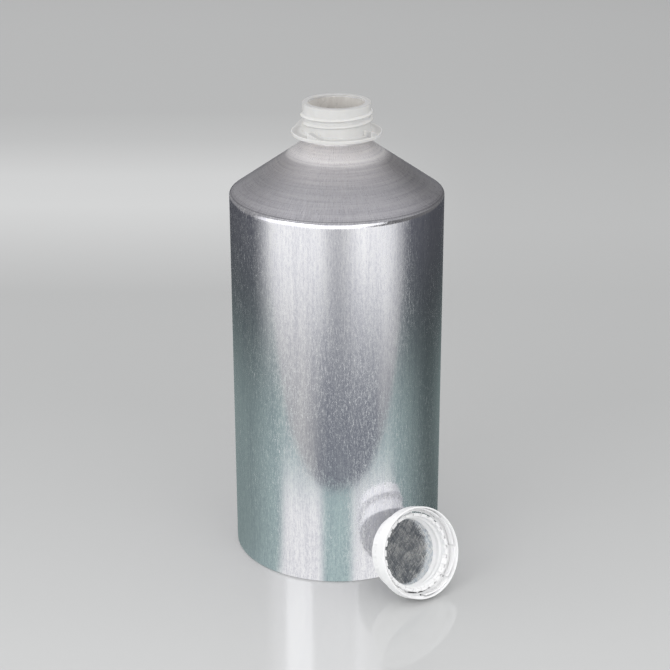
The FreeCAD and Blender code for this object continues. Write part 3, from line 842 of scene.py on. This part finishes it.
def roundedBar(between, halfAcross, halfUp, rounding, place):
    # a bar closed at both ends: its section is a rounded rectangle at each share of its length, and place
    # turns (share, across, up) into points
    along = np.concatenate([[0.0, 0.001], between, [0.999, 1.0]])
    turn = np.linspace(0.0, 2 * math.pi, 24, endpoint=False) + math.pi / 24
    cornerX, cornerY = np.sign(np.cos(turn)), np.sign(np.sin(turn))
    rows = []
    for index, share in enumerate(along):
        closed = index in (0, len(along) - 1)
        across, up = halfAcross(share), halfUp
        r = min(rounding, across, up)
        x = cornerX * (across - r) + r * np.cos(turn)
        y = cornerY * (up - r) + r * np.sin(turn)
        if closed:
            x, y = 0.0 * x, 0.0 * y
        rows.append(place(share, x, y))
    return np.array(rows)


def makeTongues():
    # each tongue leaves the band's wall and runs clockwise to a free tip. Its inner and outer radii follow
    # parabolas through their values at the root, the middle and the tip.
    c = cap
    wall, thick = c["bandRadius"] - c["bandWall"], c["tongueThickness"]
    rootOuter = wall + c["tongueSunk"]
    tipOuter = wall - c["tongueReach"] + thick
    midOuter = (rootOuter + tipOuter) / 2.0
    sweep = math.radians(c["tongueSweep"])
    middle = c["height"] - c["tongueRimGap"] - c["tongueLength"] / 2.0

    def through(root, mid, tip, s):
        return root * (1 - s) * (1 - 2 * s) + 4 * mid * s * (1 - s) + tip * s * (2 * s - 1)

    def outer(s):
        return through(rootOuter, midOuter, tipOuter, s)

    def inner(s):
        return through(wall - thick, midOuter - thick, tipOuter - thick, s)

    tongues = []
    for index in range(c["tongues"]):
        first = math.radians(c["tongueTip"] + 360.0 * index / c["tongues"])

        def place(share, across, up):
            # share runs from the root to the free tip while the angle falls and the strip leaves the wall
            angle = first + sweep * (1.0 - share)
            radius = (inner(share) + outer(share)) / 2.0 + across
            return np.stack([radius * math.cos(angle), radius * math.sin(angle), middle + up], -1)

        halfThick = lambda s: (outer(s) - inner(s)) / 2.0
        tongues.append(roundedBar(np.linspace(0.04, 0.97, 22), halfThick, c["tongueLength"] / 2.0,
                                  c["tongueEdge"], place))
    return tongues


def makeBridges():
    c = cap
    low, high = c["outerRadius"], c["outerRadius"] + c["ribHeight"] + c["tearGap"] + c["bridgeSunk"]
    middle = c["height"] - c["bandLength"] + c["bandWeb"] / 2.0
    bridges = []
    for index in range(c["ribs"]):
        angle = math.radians(c["ribPhase"] + 360.0 * index / c["ribs"])
        outward = np.array([math.cos(angle), math.sin(angle), 0.0])
        sideways = np.array([-math.sin(angle), math.cos(angle), 0.0])

        def place(share, across, up):
            spot = outward * (low + (high - low) * share)
            return spot + across[:, None] * sideways + (middle + up)[:, None] * np.array([0.0, 0.0, 1.0])

        # a bridge is waisted: narrow in the gap and wider where it meets the rib and the band
        waist = lambda s: c["bridgeWidth"] / 2.0 * (0.75 + 0.9 * (2.0 * s - 1.1) ** 2)
        bridges.append(roundedBar(np.linspace(0.1, 0.9, 9), waist, c["bandWeb"] / 2.0 - c["bridgeInset"],
                                  c["bridgeEdge"], place))
    return bridges


def makeScrewCap():
    grids = [(laidDown(makeCapCup()), False, True, 0)] + makeTamperBand()
    grids += [(laidDown(part), False, True, 0) for part in makeTongues() + makeBridges()]
    meshFromGrids("screw_cap_moulding", grids, [whitePlastic()], ["screw_cap"])


disc = {"radius": 24.7, "edge": 0.25, "segments": 240}


def makeSealingDisc():
    low, high = cap["plate"], cap["plate"] + cap["discThickness"]
    profile = roundedProfile([(0.0, low, 0), (disc["radius"], low, disc["edge"]),
                              (disc["radius"], high, disc["edge"]), (0.0, high, 0)], arcSteps=6, step=3.0)
    profile = profile[: int(np.where(profile[:, 0] < 1e-6)[0][1]) + 1]
    angles = np.linspace(0, 2 * math.pi, disc["segments"], endpoint=False)
    disk = aroundAxis(profile[:, 0], profile[:, 1], angles)
    meshFromGrids("sealing_disc_liner", [(laidDown(disk), False, True, 0)], [foilLiner()],
                  ["sealing_disc"])


makeBottleBody()
makeNeckRing()
makeScrewCap()
makeSealingDisc()

# Camera, from a fit to the bottle's outline in the photograph, whose frame is 670 by 670

view = {
    "place": (0.0, -1229.97, 658.92),
    "pitch": 0.3777,          # down, radians
    "yaw": -0.0013,
    "roll": -0.0024,
    "focalPixels": 1721.654,
    "framePixels": 670.0,
    "sensor": 36.0,
}


def makeCamera():
    v = view
    pitch, yaw, roll = v["pitch"], v["yaw"], v["roll"]
    forward = Vector((math.sin(yaw) * math.cos(pitch), math.cos(yaw) * math.cos(pitch), -math.sin(pitch)))
    level = Vector((math.cos(yaw), -math.sin(yaw), 0.0))
    above = level.cross(forward)
    right = math.cos(roll) * level + math.sin(roll) * above
    up = math.cos(roll) * above - math.sin(roll) * level
    data = bpy.data.cameras.new("camera")
    data.sensor_width = v["sensor"]
    data.lens = v["focalPixels"] / v["framePixels"] * v["sensor"]
    data.clip_start, data.clip_end = 0.05, 60.0
    camera = bpy.data.objects.new("camera", data)
    camera.matrix_world = Matrix((
        (right.x, up.x, -forward.x, v["place"][0] * mm),
        (right.y, up.y, -forward.y, v["place"][1] * mm),
        (right.z, up.z, -forward.z, v["place"][2] * mm),
        (0, 0, 0, 1),
    ))
    bpy.context.scene.collection.objects.link(camera)
    bpy.context.scene.camera = camera


# Studio

studio = {
    "floorColour": (0.572, 0.577, 0.577),
    "floorSize": 30.0,
    "floorRoughness": 0.05,
    "floorGloss": 0.75,
    # light on the floor from 0.2 m in front of the bottle to 2.1 m behind it
    "floorDepth": (-0.2, 2.1),
    "floorLevels": ((0.01, 1.0), (0.04, 0.97), (0.11, 0.91), (0.20, 0.87),
                    (0.333, 0.88), (0.43, 0.93), (0.61, 0.92), (1.0, 0.97)),
    "poolLevels": ((0.33, 0.0), (0.38, 0.11), (0.426, 0.22), (0.47, 0.33),
                   (0.53, 0.31), (0.575, 0.19), (0.61, 0.10), (0.68, 0.0)),
    "poolLeft": (-1.2, -0.5),             # the pool of light comes in and goes out between these places
    "poolRight": (-0.12, 0.20, 1.0, 0.05),
    # levels in front, left, right and overhead, and the heights between which the last one takes over
    "dome": (1.30, 1.05, 0.75, 1.10, (0.10, 0.75)),       # soft light that falls on the object
    "mirrored": (1.30, 0.27, 0.15, 0.46, (0.35, 0.95)),   # what polished surfaces show
    "mirroredTint": (0.985, 0.975, 1.0),
    "frontLean": 0.5,                     # the bright part in front reaches further to the left
    "frontFade": (-0.75, -0.35),
    "sideFade": (-0.3, 0.5),
    "backdrop": (0.60, 0.60, 0.60),
    "lampsAim": 0.15,                     # height that the lamps point at
    "boxes": [               # azimuth to the right of the front, elevation, distance, width, height, watts
        (-44.0, 30.0, 1.6, 0.8, 0.8, 3.2),
        (36.0, 30.0, 1.6, 0.8, 0.8, 2.0),
    ],
}

# Painted reflection: what the polished metal sees of the studio's floor is painted on the floor as a glow
# that
# only reflections meet: a pale sheet near the bottle with two bright bands, a darker table in front of its
# straight edge, and bright panels far off. Lengths are in metres, and angles in degrees to the right of the
# front. A band is its middle, where it starts to fall, where it ends, and its strength.
reflected = {
    "sheetEdge": (0.229, 0.241),      # in front of the axis
    "spread": 0.043,                  # the angles are measured from this far in front of the axis
    "farBetween": (0.32, 0.95),
    "nearTint": (0.81, 1.02, 1.01),   # between the bands, which are white
    "middleTint": (0.90, 0.96, 1.07),
    "farTint": (0.93, 0.96, 1.09),
    "near": (0.50, 0.36),             # level between the bands, and what a band adds
    "nearBands": ((-40.0, 17.0, 29.0, 1.0), (40.0, 17.0, 30.0, 1.0)),
    "nearFade": (0.17, 0.32, 0.12),   # the near bands fade between these distances, to this share
    "outerFade": (0.22, 0.75, 0.35),  # so does the sheet's own level
    "middle": (0.25, 0.23),
    "middleBands": ((-50.0, 10.0, 38.0, 1.0), (62.0, 6.0, 24.0, 0.65)),
    "far": (0.16, 0.82),
    "farBands": ((-44.0, 20.0, 57.0, 1.0), (38.0, 12.0, 49.0, 1.0)),
    # levels fall between these angles, to this share: left and right, then the same far off
    "sides": ((-45.0, -115.0, 0.53), (42.0, 120.0, 0.25)),
    "farSides": ((-60.0, -130.0, 0.65), (60.0, 130.0, 0.5)),
    "behind": 0.5,                    # the share that both sides meet at behind the bottle
    "behindBetween": (110.0, 178.0),
}


def makeFloor():
    size = studio["floorSize"] / 2.0
    mesh = bpy.data.meshes.new("floor")
    corners = [(-size, -size, 0), (size, -size, 0), (size, size, 0), (-size, size, 0)]
    mesh.from_pydata(corners, [], [(0, 1, 2, 3)])
    floor = bpy.data.objects.new("floor", mesh)
    bpy.context.scene.collection.objects.link(floor)
    mesh.materials.append(floorFinish())


def floorFinish():
    r = reflected
    m = Nodes(bpy.data.materials.new("floor"))
    parts, _, away = m.fromAxis()
    ahead = m.maths("MULTIPLY", parts["Y"], -1.0)
    azimuth = m.maths("ARCTAN2", parts["X"], m.maths("SUBTRACT", ahead, r["spread"]))
    azimuth = m.maths("MULTIPLY", azimuth, 180.0 / math.pi)

    def bands(settings):
        masks = []
        for centre, inner, outer, share in settings:
            off = m.maths("ABSOLUTE", m.maths("SUBTRACT", azimuth, centre))
            masks.append(m.smooth(off, inner, outer, share, 0.0))
        return m.maths("MINIMUM", m.total(*masks), 1.0)

    def region(name, fade=1.0):
        base, added = r[name]
        tinted = tuple(base * part for part in r[name + "Tint"])
        return m.blend(m.maths("MULTIPLY", bands(r[name + "Bands"]), fade), tinted, (base + added,) * 3)

    def fading(start, end, share):
        return m.smooth(away, start, end, 1.0, share)

    behind = m.smooth(m.maths("ABSOLUTE", azimuth), *r["behindBetween"])

    def dimmed(colour, name):
        left, right = (m.smooth(azimuth, start, end, 1.0, share) for start, end, share in r[name])
        level = m.blend(behind, m.maths("MULTIPLY", left, right), (r["behind"],) * 3)
        return m.blend(1.0, colour, level, "MULTIPLY")

    sheet = m.blend(1.0, region("near", fading(*r["nearFade"])), fading(*r["outerFade"]), "MULTIPLY")
    paintedReflection = dimmed(m.blend(m.smooth(ahead, *r["sheetEdge"]), sheet, region("middle")), "sides")
    paintedReflection = m.blend(m.smooth(away, *r["farBetween"]), paintedReflection, dimmed(region("far"), "farSides"))
    glossy = m.mirrored()
    # the floor's own gloss is for the camera alone
    gloss = m.maths("MULTIPLY", m.add("ShaderNodeLightPath").outputs["Is Camera Ray"], studio["floorGloss"])
    # painted reflection: for rays from polished surfaces the floor is black and glows with this pattern,
    # which is no lamp
    m.set(Emission_Color=paintedReflection, Emission_Strength=glossy, Specular_IOR_Level=gloss,
          Roughness=studio["floorRoughness"], IOR=1.5)
    m.owner.cycles.emission_sampling = "NONE"
    # uneven light on the floor: dimmer beside the bottle, and a soft pool behind it at the left
    depth = m.span(parts["Y"], *studio["floorDepth"], 0.0, 1.0)
    dim, pool = (m.ramp(depth, [(place, (level,) * 3) for place, level in studio[name]])
                 for name in ("floorLevels", "poolLevels"))
    pool = m.maths("MULTIPLY", pool, m.smooth(parts["X"], *studio["poolRight"]))
    pool = m.maths("ADD", m.maths("MULTIPLY", pool, m.smooth(parts["X"], *studio["poolLeft"])), 1.0)
    colour = m.blend(1.0, m.blend(1.0, studio["floorColour"], dim, "MULTIPLY"), pool, "MULTIPLY")
    return m.finish(m.blend(glossy, colour, (0.0, 0.0, 0.0)))


def makeLamps():
    for index, (azimuth, elevation, distance, width, height, watts) in enumerate(studio["boxes"]):
        a, e = math.radians(azimuth), math.radians(elevation)
        toward = Vector((math.sin(a) * math.cos(e), -math.cos(a) * math.cos(e), math.sin(e)))
        lamp = bpy.data.lights.new("softbox_" + str(index), "AREA")
        lamp.shape = "RECTANGLE"
        lamp.size, lamp.size_y, lamp.energy = width, height, watts
        holder = bpy.data.objects.new(lamp.name, lamp)
        holder.location = toward * distance + Vector((0, 0, studio["lampsAim"]))
        holder.rotation_euler = toward.to_track_quat("Z", "Y").to_euler()
        holder.visible_camera = False
        bpy.context.scene.collection.objects.link(holder)


def makeSky():
    # an even dome lights the studio; polished surfaces see it dark at the sides and behind, lighter in front
    # and overhead; a camera sees an even pale backdrop
    world = bpy.data.worlds.new("studio")
    bpy.context.scene.world = world
    w = Nodes(world)
    parts = w.split(w.add("ShaderNodeTexCoord").outputs["Generated"])
    ahead = w.maths("ADD", w.maths("MULTIPLY", parts["X"], studio["frontLean"]), parts["Y"])

    def levels(front, left, right, top, climb):
        sides = w.smooth(parts["X"], *studio["sideFade"], left, right)
        level = w.mixed(w.smooth(ahead, *studio["frontFade"]), front, sides)
        return w.mixed(w.smooth(parts["Z"], *climb), level, top)

    shown = w.blend(1.0, levels(*studio["mirrored"]), studio["mirroredTint"], "MULTIPLY")
    lit = w.blend(w.mirrored(), levels(*studio["dome"]), shown)
    camera = w.add("ShaderNodeLightPath").outputs["Is Camera Ray"]
    w.give(w.tree.nodes["Background"], Color=w.blend(camera, lit, studio["backdrop"]))
    bpy.context.scene.view_settings.view_transform = "Standard"


makeCamera()
makeFloor()
makeLamps()
makeSky()
print("studio ready")
